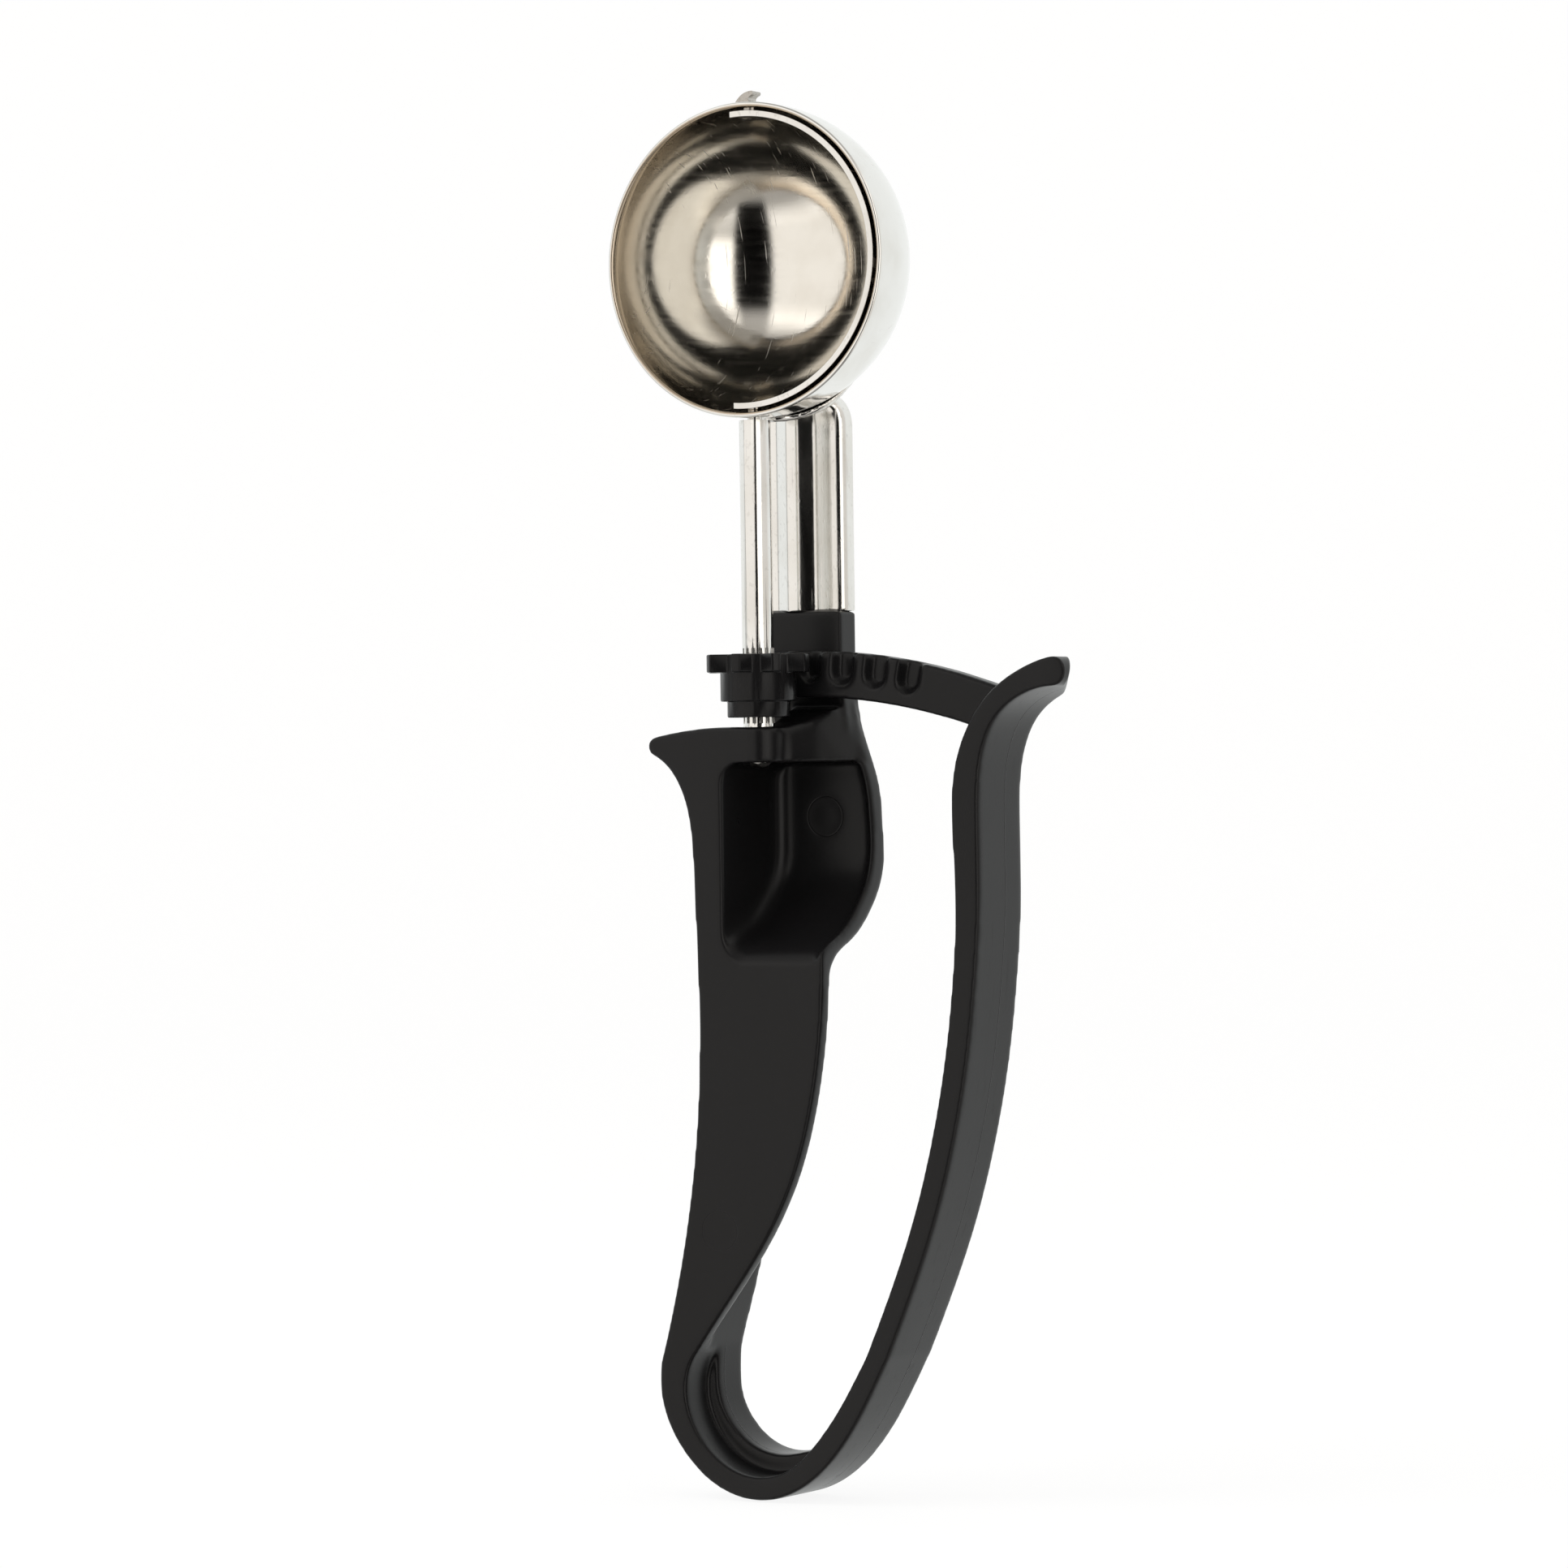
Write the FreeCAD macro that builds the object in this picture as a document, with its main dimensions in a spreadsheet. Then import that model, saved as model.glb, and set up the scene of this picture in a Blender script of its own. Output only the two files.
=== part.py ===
import FreeCAD, Part
import math
import os

# A lever ice cream scoop, upright, in millimetres.
# The scraper's turning axis is the Z axis. Z is zero at the lowest point of the handle's loop.
# The bowl opens to -Y, and the squeeze lever stands on the +X side of the grip.

V = FreeCAD.Vector
X_AXIS = V(1, 0, 0)
Y_AXIS = V(0, 1, 0)
Z_AXIS = V(0, 0, 1)
Y_FROM_Z = FreeCAD.Rotation(X_AXIS, -90)
MINUS_Y_FROM_Z = FreeCAD.Rotation(X_AXIS, 90)
# The same direction, with the cylinder's seam on the -X side
MINUS_Y_SEAM_LEFT = MINUS_Y_FROM_Z.multiply(FreeCAD.Rotation(Z_AXIS, 180))

doc = FreeCAD.newDocument("lever_scoop")

# Driving sizes: alias and value in millimetres, degrees or a count
SIZES = [
    # bowl
    ("bowl_radius", 23.5),
    ("bowl_wall", 0.8),
    ("bowl_skirt", 3.0),
    ("bowl_height", 184.6),
    # running gap of a round pin in its hole
    ("running_gap", 0.05),
    # scraper blade
    ("blade_gap", 0.3),
    ("blade_thick", 0.9),
    ("blade_width", 6.0),
    ("blade_overhang", 1.9),
    ("pivot_radius", 1.1),
    ("tab_width", 2.4),
    ("tab_rise", 1.7),
    ("tab_length", 3.1),
    # scraper shaft
    ("shaft_radius", 2.35),
    ("shaft_foot", 108.9),
    ("tang_radius", 1.1),
    ("knurl_count", 14),
    ("knurl_radius", 0.28),
    ("knurl_reach", 0.9),
    # pinion on the shaft
    ("tooth_count", 8),
    ("tooth_tip_radius", 7.95),
    ("tooth_root_radius", 5.7),
    ("tooth_half_width", 1.0),
    ("tooth_flank_angle", 20.0),
    ("tooth_phase", 5.0),
    ("gear_bottom", 123.2),
    ("gear_thick", 2.7),
    ("hub_radius", 5.7),
    ("hub_length", 4.3),
    ("collar_radius", 4.7),
    ("collar_length", 2.4),
    # curved rack on the lever, about the flexing centre of the loop
    ("hinge_x", 2.0),
    ("hinge_z", 22.0),
    ("rack_inner_radius", 97.5),
    ("rack_height", 7.0),
    ("rack_front", 6.15),
    ("rack_tooth_ratio", 113.0),
    ("rack_pockets", 5),
    ("rack_first_pocket", -1.472),
    ("rack_end_margin", 2.1),
    ("rack_root_angle", 22.2),
    ("pocket_width", 4.1),
    ("pocket_depth", 2.05),
    ("pocket_foot", 1.9),
    ("pocket_side_angle", 25.0),
    # steel shank
    ("shank_half_width", 8.0),
    ("shank_front", 10.8),
    ("shank_depth", 4.9),
    ("shank_sheet", 1.0),
    ("shank_corner", 2.2),
    ("pad_radius", 9.8),
    ("pad_sheet", 0.9),
    # moulded handle
    ("front_face", -4.2),
    ("loop_depth", 14.1),
    ("shoulder_height", 132.4),
    ("tongue_share", 0.55),
    ("shelf_top", 115.1),
    ("shelf_thick", 5.4),
    ("boss_radius", 4.2),
    ("spine_width", 5.9),
    ("web_thick", 2.9),
    ("spine_slope_top", 88.0),
    ("spine_slope_foot", 26.0),
    ("lip_width", 0.9),
    ("lip_rise", 1.1),
    ("pocket_fillet", 3.0),
    ("finger_corner", 3.6),
    ("pin_mark_radius", 3.0),
    ("pin_mark_depth", 0.12),
]

sheet = doc.addObject("Spreadsheet::Sheet", "Sizes")
for row, (alias, value) in enumerate(SIZES, start=1):
    sheet.set(f"A{row}", alias)
    sheet.set(f"B{row}", str(value))
    sheet.setAlias(f"B{row}", alias)
doc.recompute()


def size(alias):
    return float(sheet.get(alias))


def bind(item, **formulas):
    """Bind properties to the sheet; x, y and z stand for the placement's position."""
    places = {"x": "Placement.Base.x", "y": "Placement.Base.y", "z": "Placement.Base.z"}
    for key, formula in formulas.items():
        item.setExpression(places.get(key, key), formula)
    return item


def primitive(kind, name, turn=None, **formulas):
    item = doc.addObject("Part::" + kind, name)
    if turn is not None:
        item.Placement = FreeCAD.Placement(V(0, 0, 0), turn)
    return bind(item, **formulas)


def fuse(name, *items):
    joined = doc.addObject("Part::MultiFuse", name)
    joined.Shapes = list(items)
    joined.Refine = True
    return joined


def cut(name, base, tool):
    result = doc.addObject("Part::Cut", name)
    result.Base = base
    result.Tool = tool
    result.Refine = True
    return result


def common(name, first, second):
    result = doc.addObject("Part::MultiCommon", name)
    result.Shapes = [first, second]
    return result


# Bowl: a deep half sphere with a short skirt, pierced on the scraper's axis at top and bottom
def half_round(name, radius, skirt):
    dome = primitive("Sphere", name + "_dome", Y_FROM_Z, Radius=radius, z="Sizes.bowl_height")
    dome.Angle1 = 0
    dome.Angle2 = 90
    ring = primitive("Cylinder", name + "_skirt", MINUS_Y_FROM_Z, Radius=radius, Height=skirt,
                     z="Sizes.bowl_height")
    return fuse(name, dome, ring)


BOWL_INNER = "Sizes.bowl_radius - Sizes.bowl_wall"
bowl_outside = half_round("bowl_outside", "Sizes.bowl_radius", "Sizes.bowl_skirt")
bowl_inside = half_round("bowl_inside", BOWL_INNER, "2 * Sizes.bowl_skirt")
bowl_shell = cut("bowl_shell", bowl_outside, bowl_inside)
pivot_hole = primitive("Cylinder", "pivot_hole", Radius="Sizes.pivot_radius + Sizes.running_gap",
                       Height="Sizes.bowl_radius", z="Sizes.bowl_height")
tang_hole = primitive("Cylinder", "tang_hole", Radius="Sizes.tang_radius + Sizes.running_gap",
                      Height="Sizes.bowl_radius", z="Sizes.bowl_height - Sizes.bowl_radius - 1")
bowl = cut("bowl", bowl_shell, fuse("bowl_holes", pivot_hole, tang_hole))

# Scraper blade: half a ring inside the bowl, lying on the lever's side at rest
# Its outer corners run blade_gap inside the bowl's wall
BLADE_OUTER = "sqrt((" + BOWL_INNER + " - Sizes.blade_gap)^2 - (Sizes.blade_width / 2)^2)"
ring_outside = primitive("Cylinder", "ring_outside", MINUS_Y_SEAM_LEFT, Radius=BLADE_OUTER,
                         Height="Sizes.blade_width", y="Sizes.blade_width / 2",
                         z="Sizes.bowl_height")
ring_inside = primitive("Cylinder", "ring_inside", MINUS_Y_SEAM_LEFT,
                        Radius=BLADE_OUTER + " - Sizes.blade_thick",
                        Height="2 * Sizes.blade_width", y="Sizes.blade_width",
                        z="Sizes.bowl_height")
ring = cut("ring", ring_outside, ring_inside)
blade_side = primitive("Box", "blade_side", Length="2 * Sizes.bowl_radius",
                       Width="2 * Sizes.bowl_radius", Height="2 * Sizes.bowl_radius",
                       x="-Sizes.blade_overhang", y="-Sizes.bowl_radius",
                       z="Sizes.bowl_height - Sizes.bowl_radius")
half_ring = common("half_ring", ring, blade_side)
blade_top_hole = primitive("Cylinder", "blade_top_hole", Radius="Sizes.pivot_radius",
                           Height="Sizes.bowl_radius", z="Sizes.bowl_height")
blade_tang_hole = primitive("Cylinder", "blade_tang_hole", Radius="Sizes.tang_radius",
                            Height="Sizes.bowl_radius",
                            z="Sizes.bowl_height - Sizes.bowl_radius - 1")
blade = cut("scraper_blade", half_ring, fuse("blade_holes", blade_top_hole, blade_tang_hole))

# Upper pivot: the blade's top end passes out through the bowl and is bent over as a tab
STUD_FOOT = "Sizes.bowl_height + " + BLADE_OUTER + " - Sizes.blade_thick"
TAB_FOOT = "Sizes.bowl_height + Sizes.bowl_radius + Sizes.running_gap"
stud = primitive("Cylinder", "stud", Radius="Sizes.pivot_radius",
                 Height=TAB_FOOT + " - (" + STUD_FOOT + ")", z=STUD_FOOT)


def bent_tab():
    """A strip bent over towards the blade's side, thinner at its raised tip."""
    foot = size("bowl_height") + size("bowl_radius") + size("running_gap")
    rise = size("tab_rise")
    length = size("tab_length")
    front = -size("tab_width") / 2
    heel = V(-0.63 * length, front, foot)
    crown = V(-0.12 * length, front, foot + 0.84 * rise)
    tip_top = V(0.29 * length, front, foot + rise)
    tip_end = V(0.37 * length, front, foot + 0.8 * rise)
    tip_low = V(0.28 * length, front, foot + 0.62 * rise)
    throat = V(0.3 * size("pivot_radius"), front, foot + 0.3 * rise)
    toe = V(0.5 * size("pivot_radius"), front, foot)
    back = Part.BSplineCurve()
    back.interpolate([heel, crown, tip_top])
    belly = Part.BSplineCurve()
    belly.interpolate([tip_low, throat, toe])
    edges = [back.toShape(), Part.Arc(tip_top, tip_end, tip_low).toShape(), belly.toShape(),
             Part.LineSegment(toe, heel).toShape()]
    return Part.Face(Part.Wire(edges)).extrude(Y_AXIS * size("tab_width"))


tab = doc.addObject("Part::Feature", "tab")
tab.Shape = bent_tab()
pivot = fuse("blade_pivot", stud, tab)

# Scraper shaft: a round rod with a domed foot, necked to a tang through the bowl's bottom hole
SHAFT_TOP = "Sizes.bowl_height - Sizes.bowl_radius - Sizes.blade_gap"
ROD_FOOT = "Sizes.shaft_foot + Sizes.shaft_radius"
rod = primitive("Cylinder", "rod", Radius="Sizes.shaft_radius",
                Height=SHAFT_TOP + " - (" + ROD_FOOT + ")", z=ROD_FOOT)
rod_foot = primitive("Sphere", "rod_foot", Radius="Sizes.shaft_radius", z=ROD_FOOT)
tang = primitive("Cylinder", "tang", Radius="Sizes.tang_radius",
                 Height="Sizes.bowl_height - (" + BLADE_OUTER + ") + Sizes.blade_thick - ("
                        + SHAFT_TOP + ")",
                 z=SHAFT_TOP)
plain_shaft = fuse("plain_shaft", rod, rod_foot, tang)


def knurl_cutters():
    """Flutes round the shaft that bite in the pinion and show just past both its ends."""
    foot = size("gear_bottom") - size("hub_length") - size("collar_length") - size("knurl_reach")
    top = size("gear_bottom") + size("gear_thick") + size("knurl_reach")
    flute = size("knurl_radius")
    count = int(size("knurl_count"))
    flutes = []
    for number in range(count):
        turn = 2 * math.pi * number / count
        x = size("shaft_radius") * math.cos(turn)
        y = size("shaft_radius") * math.sin(turn)
        flutes.append(Part.makeCylinder(flute, top - foot, V(x, y, foot)))
    return Part.makeCompound(flutes)


knurl = doc.addObject("Part::Feature", "knurl")
knurl.Shape = knurl_cutters()
shaft = cut("scraper_shaft", plain_shaft, knurl)


# Pinion: straight-flanked teeth round a stepped hub
def tooth_outline():
    """The eight-toothed outline in the XY plane, at the gear's bottom."""
    count = int(size("tooth_count"))
    tip = size("tooth_tip_radius")
    root = size("tooth_root_radius")
    slope = math.tan(math.radians(size("tooth_flank_angle")))
    pitch_radius = rack_pitch() * count / (2 * math.pi)
    half = size("tooth_half_width")
    tip_half = half - (tip - pitch_radius) * slope
    root_half = half + (pitch_radius - root) * slope
    floor = size("gear_bottom")
    edges = []
    corners = []
    for number in range(count):
        middle = math.radians(90 + size("tooth_phase") + 360 * number / count)
        for radius, side in ((root, -root_half), (tip, -tip_half), (tip, tip_half), (root, root_half)):
            turn = middle + math.asin(side / radius)
            corners.append((radius, turn))
    points = [V(r * math.cos(a), r * math.sin(a), floor) for r, a in corners]
    for index, point in enumerate(points):
        following = points[(index + 1) % len(points)]
        radius = corners[index][0]
        same_radius = corners[(index + 1) % len(points)][0] == radius
        if same_radius:
            middle_point = (point + following) * 0.5
            flat = V(middle_point.x, middle_point.y, 0)
            flat.normalize()
            crest = V(flat.x * radius, flat.y * radius, floor)
            edges.append(Part.Arc(point, crest, following).toShape())
        else:
            edges.append(Part.LineSegment(point, following).toShape())
    return Part.Face(Part.Wire(edges))


def rack_pitch_angle():
    return 360.0 / size("rack_tooth_ratio")


def rack_pitch():
    """Pocket spacing along the rack at the middle height of the teeth."""
    height = size("gear_bottom") + size("gear_thick") / 2 - size("hinge_z")
    return math.radians(rack_pitch_angle()) * height


teeth = doc.addObject("Part::Feature", "teeth")
teeth.Shape = tooth_outline().extrude(Z_AXIS * size("gear_thick"))
GEAR_TOP = "Sizes.gear_bottom + Sizes.gear_thick"
hub = primitive("Cylinder", "hub", Radius="Sizes.hub_radius",
                Height="Sizes.hub_length + Sizes.gear_thick / 2",
                z="Sizes.gear_bottom - Sizes.hub_length")
collar = primitive("Cylinder", "collar", Radius="Sizes.collar_radius",
                   Height="Sizes.collar_length + Sizes.hub_length / 2",
                   z="Sizes.gear_bottom - Sizes.hub_length - Sizes.collar_length")
gear_bore = primitive("Cylinder", "gear_bore", Radius="Sizes.shaft_radius",
                      Height="Sizes.gear_thick + Sizes.hub_length + Sizes.collar_length + 2",
                      z="Sizes.gear_bottom - Sizes.hub_length - Sizes.collar_length - 1")
pinion = cut("pinion_gear", fuse("gear_blank", teeth, hub, collar), gear_bore)


# Shank: a channel of formed sheet behind the shaft, with a flared pad under the bowl
def channel_outline():
    half = size("shank_half_width")
    front = size("shank_front")
    back = front + size("shank_depth")
    sheet_thick = size("shank_sheet")
    corner = size("shank_corner")
    level = size("shoulder_height")

    def rounded_u(half_width, front_y, radius):
        bend = radius * (1 - math.sqrt(0.5))
        left = Part.Arc(V(-half_width, front_y + radius, level),
                        V(-half_width + bend, front_y + bend, level),
                        V(-half_width + radius, front_y, level))
        web = Part.LineSegment(V(-half_width + radius, front_y, level),
                               V(half_width - radius, front_y, level))
        right = Part.Arc(V(half_width - radius, front_y, level),
                         V(half_width - bend, front_y + bend, level),
                         V(half_width, front_y + radius, level))
        return left, web, right

    outer = rounded_u(half, front, corner)
    inner = rounded_u(half - sheet_thick, front + sheet_thick, corner - sheet_thick)
    corners = [V(half, back, level), V(half - sheet_thick, back, level),
               V(-half + sheet_thick, back, level), V(-half, back, level)]
    edges = [part.toShape() for part in outer + inner]
    edges.append(Part.LineSegment(V(half, front + corner, level), corners[0]).toShape())
    edges.append(Part.LineSegment(corners[0], corners[1]).toShape())
    edges.append(Part.LineSegment(corners[1], V(half - sheet_thick, front + corner, level)).toShape())
    edges.append(Part.LineSegment(V(-half + sheet_thick, front + corner, level), corners[2]).toShape())
    edges.append(Part.LineSegment(corners[2], corners[3]).toShape())
    edges.append(Part.LineSegment(corners[3], V(-half, front + corner, level)).toShape())
    return Part.Face(Part.Wire(Part.__sortEdges__(edges)))


channel = doc.addObject("Part::Feature", "channel")
channel.Shape = channel_outline().extrude(Z_AXIS * (size("bowl_height") - size("shoulder_height")))
bowl_ball = primitive("Sphere", "bowl_ball", Radius="Sizes.bowl_radius", z="Sizes.bowl_height")
pad_ball = primitive("Sphere", "pad_ball", Radius="Sizes.bowl_radius + Sizes.pad_sheet",
                     z="Sizes.bowl_height")
PAD_Y = size("shank_front") + size("shank_depth") / 2
pad_direction = V(0, PAD_Y, -math.sqrt(size("bowl_radius") ** 2 - PAD_Y ** 2))
pad_column = primitive("Cylinder", "pad_column", FreeCAD.Rotation(Z_AXIS, pad_direction),
                       Radius="Sizes.pad_radius", Height="2 * Sizes.bowl_radius",
                       z="Sizes.bowl_height")
pad = common("pad", pad_ball, pad_column)
shank = cut("bowl_shank", fuse("shank_blank", channel, pad), bowl_ball)


# Outlines of the one-piece moulding in the XZ plane, as pairs of X and Z.
# The grip's outer side runs from the joint with the loop up to the horn.
GRIP_OUTER = [(-15.8, 22.0), (-12.7, 34.6), (-9.7, 54.0), (-8.9, 72.0), (-9.5, 92.7),
              (-10.3, 102.0), (-12.2, 107.2), (-15.9, 110.9)]
HORN_TIP = (-17.1, 112.7)
HORN_TOP = (-15.6, 113.9)
HORN_CREST = [(-15.6, 113.9), (-10.5, 114.7), (-5.0, 115.1)]
GRIP_INNER_TOP = [(-4.4, 109.0), (-4.4, 116.0)]
SPINE_COUNT = 6
GRIP_RIGHT = [(9.1, 115.1), (10.1, 112.0), (11.7, 107.0), (12.5, 98.0), (12.6, 86.0), (12.3, 73.0),
              (10.3, 59.0), (7.4, 49.0), (2.7, 39.5), (-4.8, 28.9), (-9.9, 22.0)]
BEND_OUTER = [(-15.8, 22.0), (-16.6, 17.7), (-15.6, 12.0), (-12.6, 6.8), (-7.5, 2.2), (0.0, 0.0),
              (7.2, 1.9), (13.0, 6.6), (18.2, 13.8), (22.7, 22.0)]
BEND_LEDGE = [(-9.9, 22.0), (-11.9, 17.5), (-11.6, 13.2), (-9.6, 9.0), (-5.6, 5.2), (0.0, 3.5),
              (5.2, 4.7), (9.8, 8.6), (14.2, 14.3), (18.8, 22.0)]
BEND_RIB = [(-9.9, 22.0), (-10.2, 17.5), (-9.6, 13.6), (-7.6, 10.2), (-4.2, 7.4), (0.0, 6.3),
            (4.6, 6.9), (8.6, 8.2), (11.5, 10.1), (15.0, 14.3), (19.4, 22.0)]
LEVER_INNER = [(18.8, 22.0), (22.3, 30.0), (26.9, 42.0), (30.3, 54.0), (32.7, 66.0), (34.2, 78.0),
               (34.8, 90.0), (34.4, 101.0), (34.7, 107.0), (36.9, 114.0), (41.8, 120.2),
               (47.5, 123.4), (51.2, 124.4)]
LEVER_TIP = (53.2, 122.4)
LEVER_OUTER = [(51.4, 120.3), (46.8, 119.2), (42.6, 116.4), (39.8, 111.0), (38.9, 103.0),
               (38.9, 90.0), (38.1, 78.0), (36.6, 66.0), (34.2, 54.0), (30.8, 42.0), (26.2, 30.0),
               (22.7, 22.0)]
# The web's front and back sides in the YZ plane, as pairs of Y and Z: flat plate, then an S
# that sweeps back to the pocket's floor
WEB_FRONT = [(-4.2, 79.4), (-2.6, 81.6), (2.4, 84.0), (8.0, 87.9), (11.8, 92.6), (13.0, 98.0)]


def curve(points, plane_y):
    spline = Part.BSplineCurve()
    spline.interpolate([V(x, plane_y, z) for x, z in points])
    return spline.toShape()


def line(first, second, plane_y):
    return Part.LineSegment(V(first[0], plane_y, first[1]), V(second[0], plane_y, second[1])).toShape()


def arc(first, middle, last, plane_y):
    ends = [V(x, plane_y, z) for x, z in (first, middle, last)]
    return Part.Arc(*ends).toShape()


def slab(edges, depth):
    return Part.Face(Part.Wire(edges)).extrude(Y_AXIS * depth)


def block(low, high):
    span = V(*high) - V(*low)
    return Part.makeBox(span.x, span.y, span.z, V(*low))


FRONT = size("front_face")
BACK = size("shank_front") + size("shank_depth")
POCKET_FLOOR = BACK - size("web_thick") + 0.2
SHELF_TOP = size("shelf_top")
SHELF_FOOT = SHELF_TOP - size("shelf_thick")
JOINT_Z = size("hinge_z")
LOOP_BACK = FRONT + size("loop_depth")
FAR = 60.0
NEAR = 0.01


def grip_slab():
    edges = [
        curve(GRIP_OUTER, FRONT),
        arc(GRIP_OUTER[-1], HORN_TIP, HORN_TOP, FRONT),
        curve(HORN_CREST, FRONT),
        line(HORN_CREST[-1], GRIP_RIGHT[0], FRONT),
        curve(GRIP_RIGHT, FRONT),
        line(GRIP_RIGHT[-1], GRIP_OUTER[0], FRONT),
    ]
    return slab(edges, BACK - FRONT)


def spine_slab():
    """Everything left of the spine's inner side."""
    shift = size("spine_width")
    inner = [(x + shift, z) for x, z in GRIP_OUTER[:SPINE_COUNT]]
    inner = inner + GRIP_INNER_TOP
    foot = (-FAR, inner[0][1])
    top = (-FAR, inner[-1][1])
    edges = [curve(inner, FRONT), line(inner[-1], top, FRONT), line(top, foot, FRONT),
             line(foot, inner[0], FRONT)]
    return slab(edges, BACK - FRONT)


def web_side(offset_y, offset_z):
    """One side of the web as an edge list in the plane X = -FAR, from below the joint upwards."""
    points = [V(-FAR, y + offset_y, z + offset_z) for y, z in WEB_FRONT]
    spline = Part.BSplineCurve()
    spline.interpolate(points)
    foot = V(-FAR, points[0].y, JOINT_Z - size("spine_width"))
    top = V(-FAR, points[-1].y, SHELF_TOP + size("shelf_thick"))
    return [Part.LineSegment(foot, points[0]).toShape(), spline.toShape(),
            Part.LineSegment(points[-1], top).toShape()], foot, top


def pocket_room(left, forward):
    """The room in front of the web's S, right of the spine and under the shelf."""
    mouth = FRONT - size("loop_depth")
    points = [V(left, y - forward, z) for y, z in WEB_FRONT]
    spline = Part.BSplineCurve()
    spline.interpolate(points)
    start = points[0]
    end = V(left, points[-1].y, SHELF_FOOT)
    mouth_top = V(left, mouth, SHELF_FOOT)
    mouth_foot = V(left, mouth, start.z)
    edges = [spline.toShape(), Part.LineSegment(points[-1], end).toShape(),
             Part.LineSegment(end, mouth_top).toShape(),
             Part.LineSegment(mouth_top, mouth_foot).toShape(),
             Part.LineSegment(mouth_foot, start).toShape()]
    return Part.Face(Part.Wire(edges)).extrude(X_AXIS * FAR)


def pocket_cutters():
    """The pocket down to its floor, but for a low lip along the grip's right edge."""
    left = GRIP_INNER_TOP[0][0]
    room = pocket_room(left, 0)
    wall_edges = [edge for edge in room.Edges
                  if edge.BoundBox.XMax < left + NEAR and edge.BoundBox.YMin > FRONT - NEAR
                  and edge.BoundBox.ZMax > SHELF_FOOT - NEAR and edge.BoundBox.YLength < NEAR]
    shelf_edges = [edge for edge in room.Edges
                   if edge.BoundBox.XMax < left + NEAR and edge.BoundBox.ZMin > SHELF_FOOT - NEAR]
    sweep_edges = [edge for edge in room.Edges
                   if edge.BoundBox.XMax < left + NEAR and edge.BoundBox.YMax > POCKET_FLOOR - 1
                   and edge.BoundBox.ZMin < WEB_FRONT[1][1]]
    room = room.makeFillet(size("pocket_fillet"), wall_edges + sweep_edges + shelf_edges)
    inset = [(x - size("lip_width"), z) for x, z in GRIP_RIGHT]
    left_top = (-FAR, inset[0][1])
    left_foot = (-FAR, inset[-1][1])
    mouth = FRONT - size("loop_depth")
    floor_side = slab([curve(inset, mouth), line(inset[-1], left_foot, mouth),
                       line(left_foot, left_top, mouth), line(left_top, inset[0], mouth)], FAR)
    return [room.common(floor_side), pocket_room(left, size("lip_rise")).cut(
        block((-FAR, mouth, 0), (0, FAR, SHELF_TOP)))]


def behind_web():
    """The room behind the web, over the whole width."""
    thick = size("web_thick")
    edges, foot, top = web_side(thick, -0.35 * thick)
    foot_back = V(-FAR, FAR, foot.z)
    top_back = V(-FAR, FAR, top.z)
    edges = edges + [Part.LineSegment(top, top_back).toShape(),
                     Part.LineSegment(top_back, foot_back).toShape(),
                     Part.LineSegment(foot_back, foot).toShape()]
    return Part.Face(Part.Wire(edges)).extrude(X_AXIS * 2 * FAR)


def spine_back_cutter():
    """A slope that thins the spine from the sleeve's depth down to the loop's depth."""
    below = JOINT_Z - size("spine_width")
    top = size("spine_slope_top")
    corners = [V(-FAR, LOOP_BACK, below), V(-FAR, LOOP_BACK, size("spine_slope_foot")),
               V(-FAR, BACK, top), V(-FAR, FAR, top), V(-FAR, FAR, below)]
    corners.append(corners[0])
    return Part.Face(Part.makePolygon(corners)).extrude(X_AXIS * 2 * FAR)


def shelf_cutter():
    """The room right of the shaft's boss, in front of the neck, over the pocket."""
    boss = size("boss_radius")
    room = block((0, FRONT - boss, SHELF_FOOT), (FAR, POCKET_FLOOR, SHELF_TOP + boss))
    post = Part.makeCylinder(boss, SHELF_TOP - SHELF_FOOT, V(0, 0, SHELF_FOOT))
    arm = block((0, 0, SHELF_FOOT), (boss, POCKET_FLOOR, SHELF_TOP))
    return room.cut([post, arm])


def neck_slab():
    """The sleeve behind the rack, flaring to the grip's right side."""
    half = size("shank_half_width")
    top = size("shoulder_height")
    front = size("shank_front")
    flare_top = SHELF_TOP + 0.6 * (top - SHELF_TOP)
    flare_middle = SHELF_TOP + 0.2 * (top - SHELF_TOP)
    right = GRIP_RIGHT[0]
    corners = [(right[0], SHELF_FOOT), (-half, SHELF_FOOT), (-half, top), (half, top), (half, flare_top)]
    edges = [line(first, second, front) for first, second in zip(corners, corners[1:])]
    edges.append(curve([corners[-1], (half + 0.4 * (right[0] - half), flare_middle), right], front))
    edges.append(line(right, corners[0], front))
    return slab(edges, size("shank_depth"))


def tongue_block():
    """The tongue that fills the foot of the shank's channel."""
    sheet_thick = size("shank_sheet")
    inside = size("shank_half_width") - sheet_thick
    foot = size("shoulder_height")
    bowl_foot = size("bowl_height") - size("bowl_radius")
    front = size("shank_front") + sheet_thick
    top = foot + size("tongue_share") * (bowl_foot - foot)
    tongue = block((-inside, front, foot), (inside, BACK - sheet_thick, top))
    front_corners = [edge for edge in tongue.Edges
                     if edge.BoundBox.YMax < front + NEAR and edge.BoundBox.XLength < NEAR]
    return tongue.makeFillet(size("shank_corner") - sheet_thick, front_corners)


def pin_marks():
    """Shallow round marks where the mould's ejector pins stood, on the plate and the floor."""
    radius = size("pin_mark_radius")
    depth = size("pin_mark_depth")
    plate = Part.makeCylinder(radius, 2 * depth, V(-5.6, FRONT - depth, 40.0), Y_AXIS)
    floor = Part.makeCylinder(radius, 2 * depth, V(3.7, WEB_FRONT[-1][0] - depth, 101.5), Y_AXIS)
    return [plate, floor]


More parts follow.
